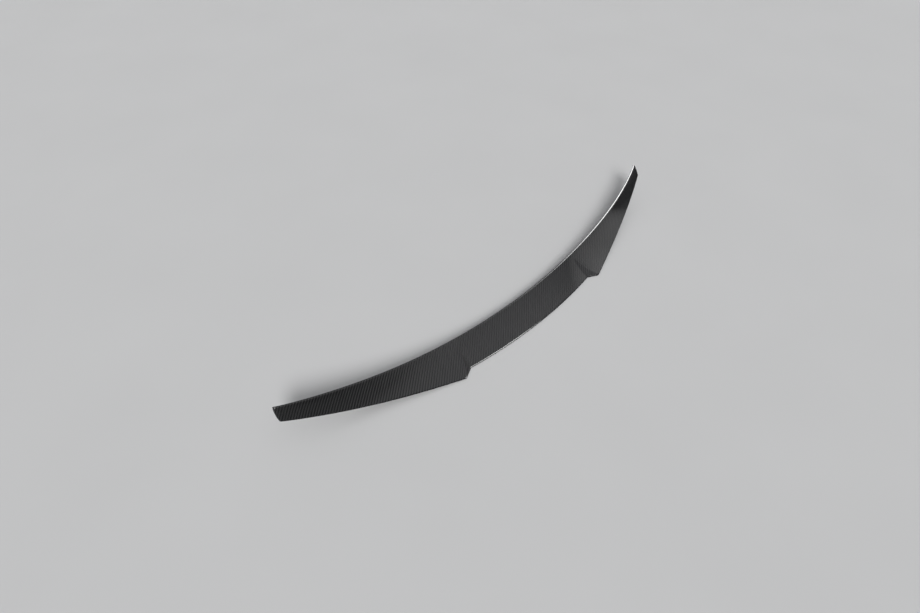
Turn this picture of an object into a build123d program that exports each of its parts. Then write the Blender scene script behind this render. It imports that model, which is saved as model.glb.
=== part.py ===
from build123d import *
import math
import os

os.makedirs("parts", exist_ok=True)

# Boot-lid spoiler, one thin moulded shell, open on the side that is bonded to the lid.
# X runs across the car, +Y to the front edge, Z up from the floor that the spoiler lies on:
# its rear face is down, so the outer skin looks up and to the rear.

half_span = 610.0           # from the middle to a tip
wall = 2.0                  # moulded skin
nose_radius = 4.5           # round of the front edge in the middle
nose_tip_radius = 3.0       # and at the tips
edge_radius = 2.8           # round of the trailing edge
heel_radius = 2.8           # round between the rear face and the bonding side
hollow_round = 2.5          # round of the hollow's inner corners

nose_y = 57.8               # front edge in the middle
nose_z = 28.3
nose_bow = 98.2             # how far its tips lead the middle
nose_lift = 58.4            # how far its tips rise over the middle
nose_bow_share = 0.35       # part of the bow that comes late, near the tips
nose_lift_share = -0.50     # part of the lift that comes early

centre_half = 212.0         # half the length of the lower middle stretch
centre_y = -10.6            # its trailing edge in the middle
centre_bow = 16.8           # how far the ends of that edge lead its middle
centre_sag = 1.5            # hollow of the skin across the middle stretch

step_run = 27.2             # sideways lean of each step at the trailing edge
step_lap = 6.0              # width of the smooth strip ahead of the step
step_back = 14.4            # how far a wing's inner corner stands behind the middle stretch

tip_back = 16.6             # trailing edge behind the front edge at the tips
tip_drop = 23.4             # and below it
wing_bow_share = 0.10       # part of the trailing edge's bow that comes late
wing_lift_share = 0.68      # part of its lift that comes late
wing_sag = 4.0              # hollow of the skin beside the step
tip_sag = 0.4               # and at the tip

heel_set = 8.5              # heel behind the front edge in the middle
heel_tip_set = 12.9         # and at the tips
heel_tip_drop = 26.8        # heel below the front edge at the tips
heel_flat = 315.0           # half the length of heel that lies on the floor
heel_power = 1.5            # how late the heel rises

hollow_half = 560.0         # half the length of the hollow, the tips beyond it are solid
mouth_half = 540.0          # half the length of the opening in the bonding side
nose_land = 12.0            # bonding land behind the front edge
heel_land = 8.0             # bonding land ahead of the heel
mouth_margin = 1.0          # reach of the opening's cut past both sides of the skin

centre_bays = 4             # lengths of skin from the middle to a step
wing_bays = 10              # lengths of skin from a step to a tip
mouth_bays = 10             # lengths of each half of the opening
corner_x = centre_half + step_run


def late(t, share, power):
    """Runs from 0 to 1, with a share of the run held back to the end."""
    return (1 - share) * t + share * t**power


def nose_at(x):
    """Centre and radius of the front edge's round."""
    s = (x / half_span) ** 2
    y = nose_y + nose_bow * late(s, nose_bow_share, 2)
    z = nose_z + nose_lift * late(s, nose_lift_share, 2)
    return Vector(x, y, z), nose_radius + (nose_tip_radius - nose_radius) * s


def centre_edge_at(x):
    """Centre and radius of the trailing edge's round, on the middle stretch."""
    y = centre_y + centre_bow * (x / centre_half) ** 2
    return Vector(x, y, edge_radius), edge_radius


def wing_share(x):
    """0 at a wing's inner corner, 1 at its tip."""
    return (x - corner_x) / (half_span - corner_x)


def wing_edge_at(x):
    """Centre and radius of the trailing edge's round, on a wing."""
    u = wing_share(x)
    start_y = centre_y + centre_bow - step_back
    tip = nose_at(half_span)[0]
    y = start_y + (tip.Y - tip_back - start_y) * late(u, wing_bow_share, 3)
    z = edge_radius + (tip.Z - tip_drop - edge_radius) * late(u, wing_lift_share, 2)
    return Vector(x, y, z), edge_radius


def heel_at(x):
    """Centre and radius of the round between the rear face and the bonding side."""
    s = (x / half_span) ** 2
    y = nose_at(x)[0].Y - heel_set - (heel_tip_set - heel_set) * s
    rise = max(0.0, (abs(x) - heel_flat) / (half_span - heel_flat))
    lift = nose_at(half_span)[0].Z - heel_tip_drop - heel_radius
    return Vector(x, y, heel_radius + lift * rise**heel_power), heel_radius


def touching(first, second):
    """Points where the outer tangent of two rounds touches them, and its outward direction."""
    (a, ra), (b, rb) = first, second
    dy, dz = b.Y - a.Y, b.Z - a.Z
    length = math.hypot(dy, dz)
    ey, ez = dy / length, dz / length
    lean = (ra - rb) / length
    flat = math.sqrt(1 - lean**2)
    out = Vector(0, flat * ez + lean * ey, -flat * ey + lean * ez)
    return a + out * ra, b + out * rb, out


def rounded(before, after, radius):
    """Round corner between two sides that are told by a point and an outward direction."""
    (p, n), (q, m) = before, after
    reach_n = p.Y * n.Y + p.Z * n.Z - radius
    reach_m = q.Y * m.Y + q.Z * m.Z - radius
    turn = n.Y * m.Z - n.Z * m.Y
    middle = Vector(p.X, (reach_n * m.Z - reach_m * n.Z) / turn, (reach_m * n.Y - reach_n * m.Y) / turn)
    angle = math.acos(n.Y * m.Y + n.Z * m.Z)
    pull = 4 / 3 * math.tan(angle / 4) * radius
    start, end = middle + n * radius, middle + m * radius
    return Bezier(start, start + Vector(0, -n.Z, n.Y) * pull, end - Vector(0, -m.Z, m.Y) * pull, end)


def section(nose, edge, heel, sag, inset):
    """Closed outline of the spoiler across the span, set in by the skin where it is the hollow."""
    corners = [(place, radius - inset) for place, radius in (nose, edge, heel)]
    nose_round, edge_round, heel_round = [hollow_round if inset else r for place, r in corners]
    sides = [touching(first, second) for first, second in zip(corners, corners[1:] + corners[:1])]
    (top_start, top_end, top_out), (rear_start, rear_end, rear_out), (land_start, land_end, land_out) = sides
    edge_arc = rounded((top_end, top_out), (rear_start, rear_out), edge_round)
    heel_arc = rounded((rear_end, rear_out), (land_start, land_out), heel_round)
    nose_arc = rounded((land_end, land_out), (top_start, top_out), nose_round)
    front, back = nose_arc @ 1, edge_arc @ 0
    dip = (front + back) / 2 - top_out * (2 * sag)
    front_pull, back_pull = (front + dip * 2) / 3, (back + dip * 2) / 3
    skin = Bezier(
        front,
        Vector(front.X, front_pull.Y, front_pull.Z),
        Vector(front.X, back_pull.Y, back_pull.Z),
        back,
    )
    return Wire([
        skin,
        edge_arc,
        Line(edge_arc @ 1, heel_arc @ 0),
        heel_arc,
        Line(heel_arc @ 1, nose_arc @ 0),
        nose_arc,
    ])


def centre_section(x, inset):
    return section(nose_at(x), centre_edge_at(x), heel_at(x), centre_sag, inset)


def wing_section(x, inset):
    sag = wing_sag + (tip_sag - wing_sag) * wing_share(x)
    return section(nose_at(x), wing_edge_at(x), heel_at(x), sag, inset)


def body(inset, reach):
    """Solid through the sections from tip to tip: middle stretch, leaning steps and wings."""
    inner_x, outer_x = centre_half - step_lap / 2, centre_half + step_lap / 2
    centre_end = section(nose_at(inner_x), centre_edge_at(centre_half), heel_at(inner_x), centre_sag, inset)
    wing_start = section(nose_at(outer_x), wing_edge_at(corner_x), heel_at(outer_x), wing_sag, inset)
    right = [centre_section(centre_half * k / centre_bays, inset) for k in range(1, centre_bays)]
    right += [centre_end, wing_start]
    bay = (reach - corner_x) / wing_bays
    right += [wing_section(corner_x + bay * k, inset) for k in range(1, wing_bays + 1)]
    left = [wire.mirror(Plane.YZ) for wire in reversed(right)]
    return Solid.make_loft(left + [centre_section(0.0, inset)] + right, ruled=True)


def mouth_section(x):
    """Outline of the opening between the two bonding lands."""
    start, end, out = touching(heel_at(x), nose_at(x))
    along = (end - start).normalized()
    low, high = start + along * heel_land, end - along * nose_land
    outside, inside = out * mouth_margin, out * (wall + mouth_margin)
    return Wire.make_polygon([low + outside, high + outside, high - inside, low - inside])


outer = body(0.0, half_span)
hollow = body(wall, hollow_half)
stations = [mouth_half * k / mouth_bays for k in range(-mouth_bays, mouth_bays + 1)]
mouth = Solid.make_loft([mouth_section(x) for x in stations], ruled=True)
spoiler = outer - hollow - mouth

box = spoiler.bounding_box()
spoiler = Pos(0, -(box.min.Y + box.max.Y) / 2, -box.min.Z) * spoiler
export_step(spoiler, "parts/spoiler_shell.step")
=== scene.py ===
import math

import bpy
import numpy as np
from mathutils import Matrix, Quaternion, Vector


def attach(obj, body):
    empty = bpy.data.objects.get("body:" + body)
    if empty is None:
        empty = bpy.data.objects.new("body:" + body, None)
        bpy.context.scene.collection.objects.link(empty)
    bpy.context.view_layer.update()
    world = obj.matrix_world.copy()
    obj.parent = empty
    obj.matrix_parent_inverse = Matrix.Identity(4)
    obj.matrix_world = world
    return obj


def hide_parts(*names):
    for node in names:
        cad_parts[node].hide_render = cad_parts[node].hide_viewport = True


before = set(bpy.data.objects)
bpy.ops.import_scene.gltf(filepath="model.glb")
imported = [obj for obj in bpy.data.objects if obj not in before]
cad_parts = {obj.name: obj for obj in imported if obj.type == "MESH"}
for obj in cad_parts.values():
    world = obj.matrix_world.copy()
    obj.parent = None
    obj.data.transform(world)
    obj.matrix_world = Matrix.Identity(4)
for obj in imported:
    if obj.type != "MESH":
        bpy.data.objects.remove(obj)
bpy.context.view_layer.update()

# Sizes of the spoiler in millimetres, under their names in the part's source.
half_span = 610.0           # from the middle to a tip
wall = 2.0                  # moulded skin
nose_radius = 4.5           # round of the front edge in the middle
nose_tip_radius = 3.0       # and at the tips
edge_radius = 2.8           # round of the trailing edge
heel_radius = 2.8           # round between the rear face and the bonding side
hollow_round = 2.5          # round of the hollow's inner corners

nose_y = 57.8               # front edge in the middle
nose_z = 28.3
nose_bow = 98.2             # how far its tips lead the middle
nose_lift = 58.4            # how far its tips rise over the middle
nose_bow_share = 0.35       # part of the bow that comes late, near the tips
nose_lift_share = -0.50     # part of the lift that comes early

centre_half = 212.0         # half the length of the lower middle stretch
centre_y = -10.6            # its trailing edge in the middle
centre_bow = 16.8           # how far the ends of that edge lead its middle
centre_sag = 1.5            # hollow of the skin across the middle stretch

step_run = 27.2             # sideways lean of each step at the trailing edge
step_lap = 6.0              # width of the smooth strip ahead of the step
step_back = 14.4            # how far a wing's inner corner stands behind the middle stretch
corner_x = centre_half + step_run

tip_back = 16.6             # trailing edge behind the front edge at the tips
tip_drop = 23.4             # and below it
wing_bow_share = 0.10       # part of the trailing edge's bow that comes late
wing_lift_share = 0.68      # part of its lift that comes late
wing_sag = 4.0              # hollow of the skin beside the step
tip_sag = 0.4               # and at the tip

heel_set = 8.5              # heel behind the front edge in the middle
heel_tip_set = 12.9         # and at the tips
heel_tip_drop = 26.8        # heel below the front edge at the tips
heel_flat = 315.0           # half the length of heel that lies on the floor
heel_power = 1.5            # how late the heel rises

hollow_half = 560.0         # half the length of the hollow, the tips beyond it are solid
mouth_half = 540.0          # half the length of the opening in the bonding side
nose_land = 12.0            # bonding land behind the front edge
heel_land = 8.0             # bonding land ahead of the heel

# Points of the skin: one row for each section, with so many parts round it.
row_pitch = 3.0             # distance between rows along the span
outside_parts = {"nose_land": 4, "nose": 12, "top": 38, "edge": 10, "rear": 12, "heel": 6, "heel_land": 3}
inside_parts = {"nose_land": 3, "nose": 6, "top": 20, "edge": 6, "rear": 8, "heel": 5, "heel_land": 2}
skew_power = 3              # a leaning section's points move sideways late, near the trailing edge
tolerance = 0.01            # slack when rows are picked by their place
millimetre = 0.001          # in metres

# Form that is finer than the solids' facets, in millimetres.
tip_round = 1.6             # round between the skin and a tip's end
tip_round_rows = 5
nose_corner_pull = 2.2      # how far the front corner of a tip's end stands short of its middle
edge_corner_pull = 0.9      # and the rear corner
corner_pull_run = 30.0      # length of wing over which that comes in
settle_run = 74.0           # length of wing over which its sections turn square to the span
crease_rows = 6             # rows on each side of a step that share in the rounding of its creases
sharp_angle = 50.0          # degrees between two faces from which their edge is shaded as sharp

# The piece's two finishes, by number.
lacquered, raw = 0, 1

# The cloth: 2/2 twill, in metres.
tow_width = 0.0020
cloth_bow = 1.15            # share of the front edge's bow in the cloth, 1 keeps threads straight in plan
crosswise_offset = 0.37     # keeps the numbers of crosswise tows apart from the lengthwise ones
tow_spread = 0.35           # part of a thread's tone that changes at random from tow to tow, the rest is painted shade towards its sides
tow_side_painted_shade = 0.55             # painted shade: tone at a tow's sides and float ends, as a share of its top's
lengthwise_roughness = 0.08     # how much rougher the lengthwise threads are
relief_strength = 0.6       # share of the weave's relief that the shading shows

# The room, in metres.
floor_half = 9.0
floor_gap = 0.0003          # the floor lies this far under the spoiler
floor_tones = (0.58, 0.61)
backdrop_tone = 0.55        # what the camera sees beyond the floor
room_tint = (0.97, 0.98, 1.0)
room_tones = (              # height of a direction, -1 straight down and 1 straight up, and the tone there
    (-0.50, 0.40),
    (-0.15, 0.04),
    (0.0, 0.04),
    (0.05, 0.13),
    (0.5, 0.15),
    (0.68, 0.42),
    (0.85, 0.62),
    (0.95, 0.72),
)
key_strength = 2.4
key_spread = 22.0           # degrees
key_course = (0.48, 0.60, -0.64)    # the way the key's light goes
box_fade = 4.0              # power with which a soft box falls off towards its borders

# The camera, fitted to a picture 920 pixels wide.
picture_width = 920.0
focal_pixels = 600.0
sensor_width = 36.0         # millimetres
camera_place = (-0.8074, -0.6464, 1.0728)
camera_sight = (0.4801, 0.4947, -0.7244)
camera_roll = 0.17          # degrees

# Numbers of a Mix node's sockets: the share, the two colours and the result.
mix_share, mix_first, mix_second, mix_result = 0, 6, 7, 2


def late(t, share, power):
    """Runs from 0 to 1: a straight run and a power of t, added in two shares."""
    return (1 - share) * t + share * t**power


def nose_at(x):
    """Centre line and radius of the front edge's round: y and z grow with x to the powers 2 and 4."""
    s = (x / half_span) ** 2
    y = nose_y + nose_bow * late(s, nose_bow_share, 2)
    z = nose_z + nose_lift * late(s, nose_lift_share, 2)
    return np.stack([x, y, z], -1), nose_radius + (nose_tip_radius - nose_radius) * s


def centre_edge_at(x):
    """Centre line of the trailing edge's round on the middle stretch: a parabola on the floor."""
    y = centre_y + centre_bow * (x / centre_half) ** 2
    return np.stack([x, y, np.full_like(x, edge_radius)], -1)


def wing_share(x):
    """0 at a wing's inner corner, 1 at its tip."""
    return (x - corner_x) / (half_span - corner_x)


def wing_edge_at(x):
    """Centre line of the trailing edge's round on a wing: y and z run to the tip by powers of x."""
    u = wing_share(x)
    tip = nose_at(np.array([half_span]))[0][0]
    start_y = centre_y + centre_bow - step_back
    y = start_y + (tip[1] - tip_back - start_y) * late(u, wing_bow_share, 3)
    z = edge_radius + (tip[2] - tip_drop - edge_radius) * late(u, wing_lift_share, 2)
    return np.stack([x, y, z], -1)


def heel_at(x):
    """Centre line of the heel's round, behind the nose: past heel_flat it rises by a power of x."""
    s = (x / half_span) ** 2
    y = nose_at(x)[0][:, 1] - heel_set - (heel_tip_set - heel_set) * s
    rise = np.clip((x - heel_flat) / (half_span - heel_flat), 0, None)
    lift = nose_at(np.array([half_span]))[0][0, 2] - heel_tip_drop - heel_radius
    return np.stack([x, y, heel_radius + lift * rise**heel_power], -1)


def side(first, first_radius, second, second_radius):
    """Outer tangent of two rounds in each row: its outward direction and its distance from the origin."""
    run = second[:, 1:] - first[:, 1:]
    length = np.hypot(run[:, 0], run[:, 1])
    ey, ez = run[:, 0] / length, run[:, 1] / length
    lean = (first_radius - second_radius) / length
    flat = np.sqrt(1 - lean**2)
    out = np.stack([flat * ez + lean * ey, lean * ez - flat * ey], -1)
    return out, (first[:, 1:] * out).sum(-1) + first_radius


def corner(before, after, radius, parts):
    """Round between two tangents: points at equal angles about a middle one radius inside both."""
    (n, reach_n), (m, reach_m) = before, after
    turn = n[:, 0] * m[:, 1] - n[:, 1] * m[:, 0]
    a, b = reach_n - radius, reach_m - radius
    middle = np.stack([a * m[:, 1] - b * n[:, 1], b * n[:, 0] - a * m[:, 0]], -1) / turn[:, None]
    sweep = np.arccos((n * m).sum(-1))
    angle = np.arctan2(n[:, 1], n[:, 0])[:, None] + sweep[:, None] * np.linspace(0, 1, parts + 1)
    ring = np.stack([np.cos(angle), np.sin(angle)], -1)
    return middle[:, None] + ring * radius[:, None, None]


def straight(start, end, parts):
    """Points at equal steps from start to end in each row."""
    t = np.linspace(0, 1, parts + 1)[:, None]
    return start[:, None] * (1 - t) + end[:, None] * t


def sections(nose_x, edge, sag, inset, hollow):
    """Open outlines, one a row, from the mouth's nose side round the skin to its heel side.

    Three rounds and their outer tangents, set in by inset. The skin between nose and edge is a
    parabola that dips by sag, and x runs along it with a power of the distance from the nose.
    """
    parts = inside_parts if hollow else outside_parts
    nose, nose_r = nose_at(nose_x)
    heel = heel_at(nose_x)
    edge_r = np.full_like(nose_x, edge_radius)
    heel_r = np.full_like(nose_x, heel_radius)
    sides = [
        side(nose, nose_r, edge, edge_r),
        side(edge, edge_r, heel, heel_r),
        side(heel, heel_r, nose, nose_r),
    ]
    top, rear, land = [(out, reach - inset) for out, reach in sides]
    if hollow:
        rounds = [np.full_like(nose_x, hollow_round)] * 3
    else:
        rounds = [nose_r - inset, edge_r - inset, heel_r - inset]
    nose_arc = corner(land, top, rounds[0], parts["nose"])
    edge_arc = corner(top, rear, rounds[1], parts["edge"])
    heel_arc = corner(rear, land, rounds[2], parts["heel"])

    out, reach = land
    along = np.stack([-out[:, 1], out[:, 0]], -1)
    foot = out * reach[:, None]
    low_at = (heel[:, 1:] * along).sum(-1) + heel_land
    high_at = (nose[:, 1:] * along).sum(-1) - nose_land
    low, high = foot + along * low_at[:, None], foot + along * high_at[:, None]

    t = np.linspace(0, 1, parts["top"] + 1)
    front, back = nose_arc[:, -1], edge_arc[:, 0]
    dip = 4 * sag[:, None, None] * (t * (1 - t))[:, None] * top[0][:, None]
    skin = straight(front, back, parts["top"]) - dip

    edge_x = edge[:, 0]
    runs = [
        (straight(high, nose_arc[:, 0], parts["nose_land"]), nose_x, nose_x, 1),
        (nose_arc, nose_x, nose_x, 1),
        (skin, nose_x, edge_x, skew_power),
        (edge_arc, edge_x, edge_x, 1),
        (straight(edge_arc[:, -1], heel_arc[:, 0], parts["rear"]), edge_x, nose_x, 1),
        (heel_arc, nose_x, nose_x, 1),
        (straight(heel_arc[:, -1], low, parts["heel_land"]), nose_x, nose_x, 1),
    ]
    pieces = []
    for outline, start_x, end_x, power in runs:
        t = np.linspace(0, 1, outline.shape[1]) ** power
        x = start_x[:, None] * (1 - t) + end_x[:, None] * t
        shared = 1 if pieces else 0
        pieces.append(np.concatenate([x[..., None], outline], -1)[:, shared:])
    return np.concatenate(pieces, 1)


def steps_between(start, end):
    """Places along the span at about row_pitch, without the first."""
    return np.linspace(start, end, round((end - start) / row_pitch) + 1)[1:]


def centre_rows(inset, hollow):
    """Sections of the middle stretch, from its middle to the step."""
    x = np.concatenate([[0.0], steps_between(0, centre_half)])
    tuck = (centre_half - step_lap / 2) / centre_half
    sag, set_in = np.full_like(x, centre_sag), np.full_like(x, inset)
    return sections(x * tuck, centre_edge_at(x), sag, set_in, hollow)


def wing_rows(inset, hollow):
    """Sections of a wing, from the step to the end of the hollow or, for the outer skin, to the tip.

    At the step the nose lies nearer the middle than the edge does. Over settle_run they come level.
    The last rows of the outer skin are set in along a quarter of a circle, to the tip's end.
    """
    ends = [mouth_half, hollow_half] + ([] if hollow else [half_span - tip_round])
    starts = [corner_x] + ends[:-1]
    x = np.concatenate([[corner_x]] + [steps_between(a, b) for a, b in zip(starts, ends)])
    set_in = np.full_like(x, inset)
    if not hollow:
        turn = np.linspace(0, math.pi / 2, tip_round_rows + 1)[1:]
        x = np.concatenate([x, half_span - tip_round * (1 - np.sin(turn))])
        set_in = np.concatenate([set_in, inset + tip_round * (1 - np.cos(turn))])
    lag = (step_run - step_lap / 2) * np.clip(1 - (x - corner_x) / settle_run, 0, None) ** 2
    sag = wing_sag + (tip_sag - wing_sag) * wing_share(x)
    return sections(x - lag, wing_edge_at(x), sag, set_in, hollow)


def half_skin(hollow):
    """Rows of sections from the middle outwards, of the outer skin or of the hollow inside it.

    The step is the straight blend of the two sections beside it, and its creases are rounded by
    averaging each row with its neighbours, one part before, two of itself and one part after.
    """
    inset = wall if hollow else 0.0
    centre, wing = centre_rows(inset, hollow), wing_rows(inset, hollow)
    share = np.linspace(0, 1, round(step_run / row_pitch) + 1)[1:-1, None, None]
    step = centre[-1] * (1 - share) + wing[0] * share
    rows = np.concatenate([centre, step, wing])
    near = slice(len(centre) - crease_rows, len(centre) + len(step) + crease_rows)
    averaged = (rows[:-2] + 2 * rows[1:-1] + rows[2:]) / 4
    rows[1:-1][near] = averaged[near]
    return rows if hollow else crowned(rows)


def crowned(rows):
    """Bows the tip's end outwards.

    x falls short with the distance from the middle of the chord: with its square towards the nose,
    and with its fourth power towards the edge.
    """
    first = outside_parts["nose_land"] + outside_parts["nose"]
    front, back = rows[:, first, 1:], rows[:, first + outside_parts["top"], 1:]
    half_chord = (front - back) / 2
    away = rows[..., 1:] - ((front + back) / 2)[:, None]
    share = (away * half_chord[:, None]).sum(-1) / (half_chord**2).sum(-1)[:, None]
    pull = nose_corner_pull * np.clip(share, 0, 1) ** 2 + edge_corner_pull * np.clip(-share, 0, 1) ** 4
    rows[..., 0] -= pull * np.clip(1 - (half_span - rows[..., 0]) / corner_pull_run, 0, None) ** 2
    return rows


def whole_skin(half):
    """Both halves: the right one and its mirror image, which share the row in the middle."""
    return np.concatenate([half[:0:-1] * [-1, 1, 1], half])


def cloth_places(skin):
    """Place of each point on the flat cloth: along the span, and across it.

    The second falls with the length of skin from the nose, and the front edge's bow there is added,
    so that the threads don't follow that bow.
    """
    lengths = np.linalg.norm(np.diff(skin, axis=1), axis=-1)
    across = np.concatenate([np.zeros((len(skin), 1)), np.cumsum(lengths, 1)], 1)
    bow = nose_at(skin[:, :1, 0])[0][..., 1] - nose_y
    return np.stack([skin[..., 0], cloth_bow * bow - across], -1)


def cells(grid):
    """The four corners of each cell of a grid, in outward order."""
    corners = [grid[:-1, :-1], grid[:-1, 1:], grid[1:, 1:], grid[1:, :-1]]
    return np.stack(corners, 2).reshape(-1, 4, *grid.shape[2:])


def across_gap(numbers, places, other_numbers, gap):
    """A strip one cell wide from one column of points to another, with the cloth carried on over it."""
    onward = places - np.stack([np.zeros_like(gap), gap], -1)
    return np.stack([numbers, other_numbers], 1), np.stack([places, onward], 1)


def closing_gap(skin):
    """Distance in each row from the outline's last point to its first."""
    return np.linalg.norm(skin[:, 0] - skin[:, -1], axis=-1)


def fan(ring, middle):
    """Triangles from a ring of points to its middle point."""
    return np.stack([np.full(len(ring), middle), ring, np.roll(ring, -1)], -1)


def mouth_ends(inside):
    """First and last row of the hollow that the mouth opens."""
    rows = np.flatnonzero(np.abs(inside[:, 0, 0]) < mouth_half + tolerance)
    return rows[0], rows[-1]


def skin_strips(outside, inside, out_at, in_at):
    """Grids of point numbers with their places on the cloth and their finish: all but the ends.

    They are the outer skin and the hollow, the strips that close their outlines beyond the mouth, and the
    mouth's two long rims.
    """
    out_cloth, in_cloth = cloth_places(outside), cloth_places(inside)
    out_gap, in_gap = closing_gap(outside), closing_gap(inside)
    spare = (len(outside) - len(inside)) // 2
    first, last = mouth_ends(inside)
    strips = [(out_at, out_cloth, lacquered), (in_at[:, ::-1], in_cloth[:, ::-1], raw)]
    for rows in (slice(0, first + spare + 1), slice(last + spare, None)):
        numbers, places = across_gap(out_at[rows, -1], out_cloth[rows, -1], out_at[rows, 0], out_gap[rows])
        strips.append((numbers, places, lacquered))
    for rows in (slice(0, first + 1), slice(last, None)):
        numbers, places = across_gap(in_at[rows, -1], in_cloth[rows, -1], in_at[rows, 0], in_gap[rows])
        strips.append((numbers[:, ::-1], places[:, ::-1], raw))
    out_mouth, in_mouth = slice(first + spare, last + spare + 1), slice(first, last + 1)
    rim = np.full(last - first + 1, wall)
    heel_rim = across_gap(out_at[out_mouth, -1], out_cloth[out_mouth, -1], in_at[in_mouth, -1], rim)
    nose_rim = across_gap(in_at[in_mouth, 0], in_cloth[in_mouth, 0], out_at[out_mouth, 0], rim)
    return strips + [(*heel_rim, raw), (*nose_rim, raw)]


def short_rims(inside, out_at, in_at):
    """The two faces between outer skin and hollow at the mouth's ends."""
    spare = (len(out_at) - len(in_at)) // 2
    faces = []
    for row, order in zip(mouth_ends(inside), (-1, 1)):
        out_row, in_row = out_at[row + spare], in_at[row]
        faces.append([out_row[-1], in_row[-1], in_row[0], out_row[0]][::order])
    return np.array(faces)


def middle_y():
    """Middle of the spoiler's depth, from the tips' front edge to the trailing edge in the middle."""
    place, radius = nose_at(np.array([half_span]))
    foremost, rearmost = float(place[0, 1] + radius[0]), centre_y - edge_radius
    return (foremost + rearmost) / 2


def spoiler_mesh():
    """Closed shell: outer skin, hollow, the mouth's rims between them, the tips' and the hollow's ends."""
    outside, inside = whole_skin(half_skin(hollow=False)), whole_skin(half_skin(hollow=True))
    points = np.concatenate([outside.reshape(-1, 3), inside.reshape(-1, 3)])
    out_at = np.arange(outside[..., 0].size).reshape(outside.shape[:2])
    in_at = np.arange(inside[..., 0].size).reshape(inside.shape[:2]) + out_at.size

    strips = skin_strips(outside, inside, out_at, in_at)
    quads = [cells(numbers) for numbers, places, finish in strips]
    cloth = [cells(places) for numbers, places, finish in strips]
    finishes = [np.full(len(faces), strip[-1]) for faces, strip in zip(quads, strips)]
    rims = short_rims(inside, out_at, in_at)
    quads.append(rims)
    cloth.append(points[rims][..., :2])
    finishes.append(np.full(len(rims), raw))

    rings = [(out_at[0, ::-1], lacquered), (out_at[-1], lacquered), (in_at[0], raw), (in_at[-1, ::-1], raw)]
    triangles = np.concatenate([fan(ring, len(points) + k) for k, (ring, finish) in enumerate(rings)])
    middles = np.array([points[ring].mean(0) for ring, finish in rings])
    points = np.concatenate([points, middles])
    triangle_cloth = points[triangles][..., 1:]
    finishes += [np.full(len(ring), finish) for ring, finish in rings]

    points[:, 1] -= middle_y()
    mesh = bpy.data.meshes.new("spoiler")
    faces = np.concatenate(quads).tolist() + triangles.tolist()
    mesh.from_pydata((points * millimetre).tolist(), [], faces)
    flat = np.concatenate([np.concatenate(cloth).reshape(-1, 2), triangle_cloth.reshape(-1, 2)])
    mesh.uv_layers.new(name="cloth").data.foreach_set("uv", (flat * millimetre).ravel())
    mesh.polygons.foreach_set("material_index", np.concatenate(finishes).astype(np.int32))
    mesh.polygons.foreach_set("use_smooth", np.ones(len(mesh.polygons), bool))
    mesh.set_sharp_from_angle(angle=math.radians(sharp_angle))
    mesh.validate()
    return mesh


class Nodes:
    """A node tree, with short calls to add and join nodes."""

    def __init__(self, tree):
        self.tree = tree

    def add(self, kind, **settings):
        """A new node, with its settings."""
        node = self.tree.nodes.new(kind)
        for key, value in settings.items():
            setattr(node, key, value)
        return node

    def join(self, source, socket):
        """A link from an output to a socket."""
        self.tree.links.new(source, socket)

    def split(self, vector):
        """The three numbers of a vector."""
        node = self.add("ShaderNodeSeparateXYZ")
        self.join(vector, node.inputs["Vector"])
        return node.outputs

    def calc(self, operation, *values):
        """A Math node: numbers are set on its sockets, outputs are joined to them."""
        node = self.add("ShaderNodeMath", operation=operation)
        for socket, value in zip(node.inputs, values):
            if isinstance(value, (int, float)):
                socket.default_value = value
            else:
                self.join(value, socket)
        return node.outputs["Value"]

    def bulge(self, t, power):
        """1 in the middle of a run from 0 to 1, falling to 0 at its ends with a power of the distance."""
        away = self.calc("ABSOLUTE", self.calc("MULTIPLY_ADD", t, 2.0, -1.0))
        return self.calc("SUBTRACT", 1.0, self.calc("POWER", away, power))

    def blend(self, share, first, second):
        """A colour between two, each given as a colour or an output."""
        node = self.add("ShaderNodeMix", data_type="RGBA")
        self.join(share, node.inputs[mix_share])
        for number, value in ((mix_first, first), (mix_second, second)):
            if isinstance(value, tuple):
                node.inputs[number].default_value = (*value, 1.0)
            else:
                self.join(value, node.inputs[number])
        return node.outputs[mix_result]


def grey(tone):
    """A colour of one tone."""
    return (tone, tone, tone)


def new_finish(name):
    """A new material, with its nodes and the sockets of its shader."""
    material = bpy.data.materials.new(name)
    material.use_nodes = True
    nodes = Nodes(material.node_tree)
    return material, nodes, nodes.tree.nodes["Principled BSDF"].inputs


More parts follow.
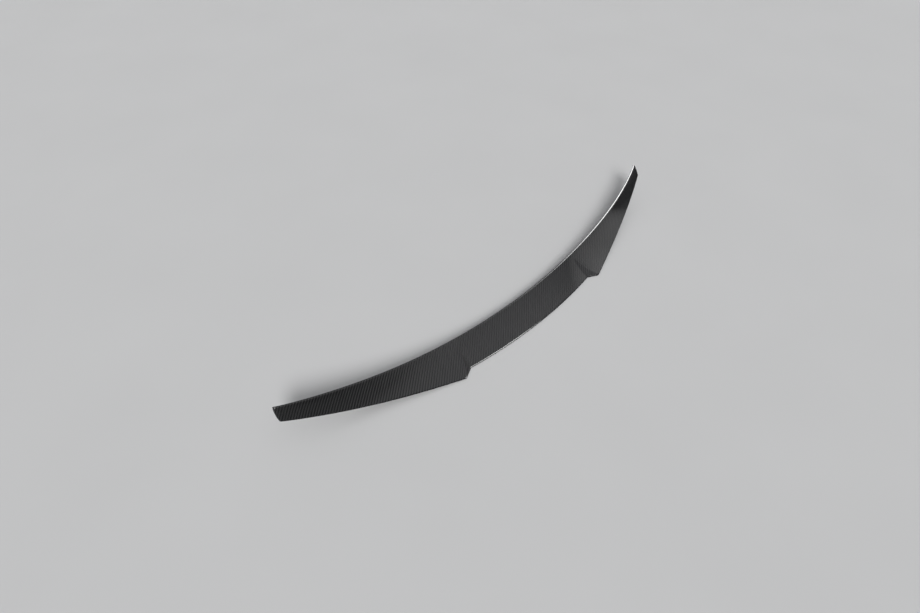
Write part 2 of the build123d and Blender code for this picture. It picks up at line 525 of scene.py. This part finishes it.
def twill(nodes):
    """2/2 twill on the cloth's own map: which thread is on top, its rounded height, and a tow's number.

    A cell is column i and row j of tows. The lengthwise thread lies on top where (i - j) mod 4 is 0 or 1,
    so each float covers two cells, and the floats of the next tow begin one cell further on. The height
    is a parabola across the tow times a flatter curve, of the fourth power, along the float.
    """
    place = nodes.split(nodes.add("ShaderNodeUVMap", uv_map="cloth").outputs["UV"])
    u = nodes.calc("DIVIDE", place[0], tow_width)
    v = nodes.calc("DIVIDE", place[1], tow_width)
    i, j = nodes.calc("FLOOR", u), nodes.calc("FLOOR", v)
    in_u, in_v = nodes.calc("FRACT", u), nodes.calc("FRACT", v)
    turn = nodes.calc("FLOORED_MODULO", nodes.calc("SUBTRACT", i, j), 4.0)
    on_top = nodes.calc("LESS_THAN", turn, 1.5)
    below = nodes.calc("SUBTRACT", 1.0, on_top)

    along_v = nodes.calc("MULTIPLY", nodes.calc("SUBTRACT", nodes.calc("ADD", in_v, 1.0), turn), 0.5)
    along_u = nodes.calc("MULTIPLY", nodes.calc("SUBTRACT", nodes.calc("ADD", in_u, turn), 2.0), 0.5)
    lengthwise = nodes.calc("MULTIPLY", nodes.bulge(in_u, 2.0), nodes.bulge(along_v, 4.0))
    crosswise = nodes.calc("MULTIPLY", nodes.bulge(in_v, 2.0), nodes.bulge(along_u, 4.0))
    crosswise_height = nodes.calc("MULTIPLY", crosswise, below)
    height = nodes.calc("ADD", nodes.calc("MULTIPLY", lengthwise, on_top), crosswise_height)
    crosswise_tow = nodes.calc("MULTIPLY", nodes.calc("ADD", j, crosswise_offset), below)
    tow = nodes.calc("ADD", nodes.calc("MULTIPLY", i, on_top), crosswise_tow)
    return on_top, height, tow


def carbon(name, dark, light, roughness, lacquer, depth):
    """Carbon cloth under lacquer. The two thread directions get different greys, a painted sheen for the
    way each direction reflects light; each tow is a little different at random, and painted shade darkens
    each tow towards its sides.
    """
    material, nodes, shader = new_finish(name)
    on_top, height, tow = twill(nodes)
    spread = nodes.add("ShaderNodeTexWhiteNoise", noise_dimensions="1D")
    nodes.join(tow, spread.inputs["W"])
    # Painted shade: a tow's tone falls with its height, darkest at its sides and at the ends of its float.
    painted_groove_shade = nodes.calc("MULTIPLY", height, 1 - tow_spread)
    tow_tone_and_painted_shade = nodes.calc("MULTIPLY_ADD", spread.outputs["Value"], tow_spread, painted_groove_shade)
    # Painted sheen: lengthwise threads take the lighter grey and crosswise ones the darker, for how the
    # fibres catch light along their run.
    lengthwise = nodes.blend(tow_tone_and_painted_shade, tuple(c * tow_side_painted_shade for c in light), light)
    crosswise = nodes.blend(tow_tone_and_painted_shade, tuple(c * tow_side_painted_shade for c in dark), dark)
    nodes.join(nodes.blend(on_top, crosswise, lengthwise), shader["Base Color"])
    nodes.join(nodes.calc("MULTIPLY_ADD", on_top, lengthwise_roughness, roughness), shader["Roughness"])
    bump = nodes.add("ShaderNodeBump")
    bump.inputs["Strength"].default_value = relief_strength
    bump.inputs["Distance"].default_value = depth
    nodes.join(height, bump.inputs["Height"])
    nodes.join(bump.outputs["Normal"], shader["Normal"])
    shader["IOR"].default_value = 1.55
    shader["Specular IOR Level"].default_value = 0.06
    shader["Coat Weight"].default_value = lacquer
    shader["Coat Roughness"].default_value = 0.06
    shader["Coat IOR"].default_value = 1.5
    return material


def pale_floor():
    """Pale matt floor with a barely uneven tone."""
    material, nodes, shader = new_finish("pale_floor")
    cloud = nodes.add("ShaderNodeTexNoise")
    cloud.inputs["Scale"].default_value = 3.0
    nodes.join(nodes.add("ShaderNodeTexCoord").outputs["Object"], cloud.inputs["Vector"])
    low, high = floor_tones
    nodes.join(nodes.blend(cloud.outputs["Fac"], grey(low), grey(high)), shader["Base Color"])
    shader["Roughness"].default_value = 0.9
    shader["Specular IOR Level"].default_value = 0.0
    return material


def floor_square():
    """A square just under the spoiler."""
    mesh = bpy.data.meshes.new("floor")
    ways = ((-1, -1), (1, -1), (1, 1), (-1, 1))
    mesh.from_pydata([(x * floor_half, y * floor_half, -floor_gap) for x, y in ways], [], [(0, 1, 2, 3)])
    mesh.materials.append(pale_floor())
    return mesh


def studio_world():
    """Soft room light: tones that run straight from one height to the next, height being the direction's z.

    The ramp runs from 0 to 1 where heights run from -1 to 1. The camera itself sees a plain pale room.
    """
    world = bpy.data.worlds.new("studio")
    world.use_nodes = True
    nodes = Nodes(world.node_tree)
    height = nodes.split(nodes.add("ShaderNodeTexCoord").outputs["Generated"])[2]
    ramp = nodes.add("ShaderNodeValToRGB")
    nodes.join(nodes.calc("MULTIPLY_ADD", height, 0.5, 0.5), ramp.inputs["Fac"])
    stops = ramp.color_ramp.elements
    stops.remove(stops[1])
    for level, tone in room_tones:
        stops.new((level + 1) / 2).color = (*grey(tone), 1.0)
    stops.remove(stops[0])
    room = nodes.tree.nodes["Background"]
    room.inputs["Color"].default_value = (*room_tint, 1.0)
    nodes.join(ramp.outputs["Color"], room.inputs["Strength"])
    plain = nodes.add("ShaderNodeBackground")
    plain.inputs["Color"].default_value = (*grey(backdrop_tone), 1.0)
    mix = nodes.add("ShaderNodeMixShader")
    nodes.join(nodes.add("ShaderNodeLightPath").outputs["Is Camera Ray"], mix.inputs[0])
    nodes.join(room.outputs["Background"], mix.inputs[1])
    nodes.join(plain.outputs["Background"], mix.inputs[2])
    nodes.join(mix.outputs["Shader"], nodes.tree.nodes["World Output"].inputs["Surface"])
    return world


def place_in_scene(name, data):
    """A new object at the origin, in the scene."""
    item = bpy.data.objects.new(name, data)
    bpy.context.scene.collection.objects.link(item)
    return item


def soft_box(name, place, aim, size, power, lean):
    """A soft box that shows in gloss alone.

    It is turned to face a point and leans about that line. Its brightness falls to nothing at its
    borders, with a power of the distance from its middle, both ways.
    """
    light = bpy.data.lights.new(name, "AREA")
    light.shape = "RECTANGLE"
    light.size, light.size_y = size
    light.energy = power
    light.use_nodes = True
    nodes = Nodes(light.node_tree)
    across = nodes.split(nodes.add("ShaderNodeNewGeometry").outputs["Parametric"])
    strength = nodes.calc("MULTIPLY", nodes.bulge(across[0], box_fade), nodes.bulge(across[1], box_fade))
    nodes.join(strength, nodes.tree.nodes["Emission"].inputs["Strength"])
    box = place_in_scene(name, light)
    box.location = place
    facing = (Vector(aim) - Vector(place)).to_track_quat("-Z", "Y")
    box.rotation_euler = (facing @ Quaternion((0, 0, 1), math.radians(lean))).to_euler()
    box.visible_camera = False
    box.visible_diffuse = False


def soft_key():
    """A wide soft sun from behind the camera."""
    light = bpy.data.lights.new("soft_key", "SUN")
    light.energy = key_strength
    light.angle = math.radians(key_spread)
    sun = place_in_scene("soft_key", light)
    sun.rotation_euler = Vector(key_course).to_track_quat("-Z", "Y").to_euler()


def photo_camera():
    """The camera that drew the photograph, fitted to the spoiler's outline there."""
    camera = place_in_scene("camera", bpy.data.cameras.new("camera"))
    camera.data.sensor_width = sensor_width
    camera.data.lens = sensor_width * focal_pixels / picture_width
    camera.location = camera_place
    sight = Vector(camera_sight).to_track_quat("-Z", "Y")
    camera.rotation_euler = (sight @ Quaternion((0, 0, 1), math.radians(camera_roll))).to_euler()
    return camera


spoiler = place_in_scene("spoiler", spoiler_mesh())
# dark and light are the painted sheen of the crosswise and the lengthwise threads.
lacquered_twill = carbon(
    "lacquered_carbon_twill",
    dark=(0.004, 0.004, 0.0045),
    light=(0.026, 0.026, 0.027),
    roughness=0.38,
    lacquer=1.0,
    depth=0.0003,
)
raw_twill = carbon(
    "raw_carbon_twill",
    dark=grey(0.012),
    light=grey(0.032),
    roughness=0.55,
    lacquer=0.0,
    depth=0.0005,
)
spoiler.data.materials.append(lacquered_twill)
spoiler.data.materials.append(raw_twill)
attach(spoiler, "root")
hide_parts("spoiler_shell")

# The floor shows in no gloss: the room's lower half stands in for it there.
floor = place_in_scene("floor", floor_square())
floor.visible_glossy = False

bpy.context.scene.world = studio_world()
bpy.context.scene.view_settings.view_transform = "Standard"
soft_key()
soft_box(
    "front_edge_strip",
    place=(1.084, 0.519, 0.704),
    aim=(0.4, 0.0, 0.05),
    size=(0.70, 1.22),
    power=47,
    lean=30.4,
)
soft_box(
    "middle_edge_strip",
    place=(0.028, -0.422, 0.192),
    aim=(-0.12, -0.08, 0.0),
    size=(0.43, 0.24),
    power=7.1,
    lean=15.4,
)
soft_box(
    "wing_box",
    place=(0.896, -0.271, 0.361),
    aim=(0.34, -0.02, 0.03),
    size=(0.56, 0.61),
    power=0.85,
    lean=19.6,
)
bpy.context.scene.camera = photo_camera()
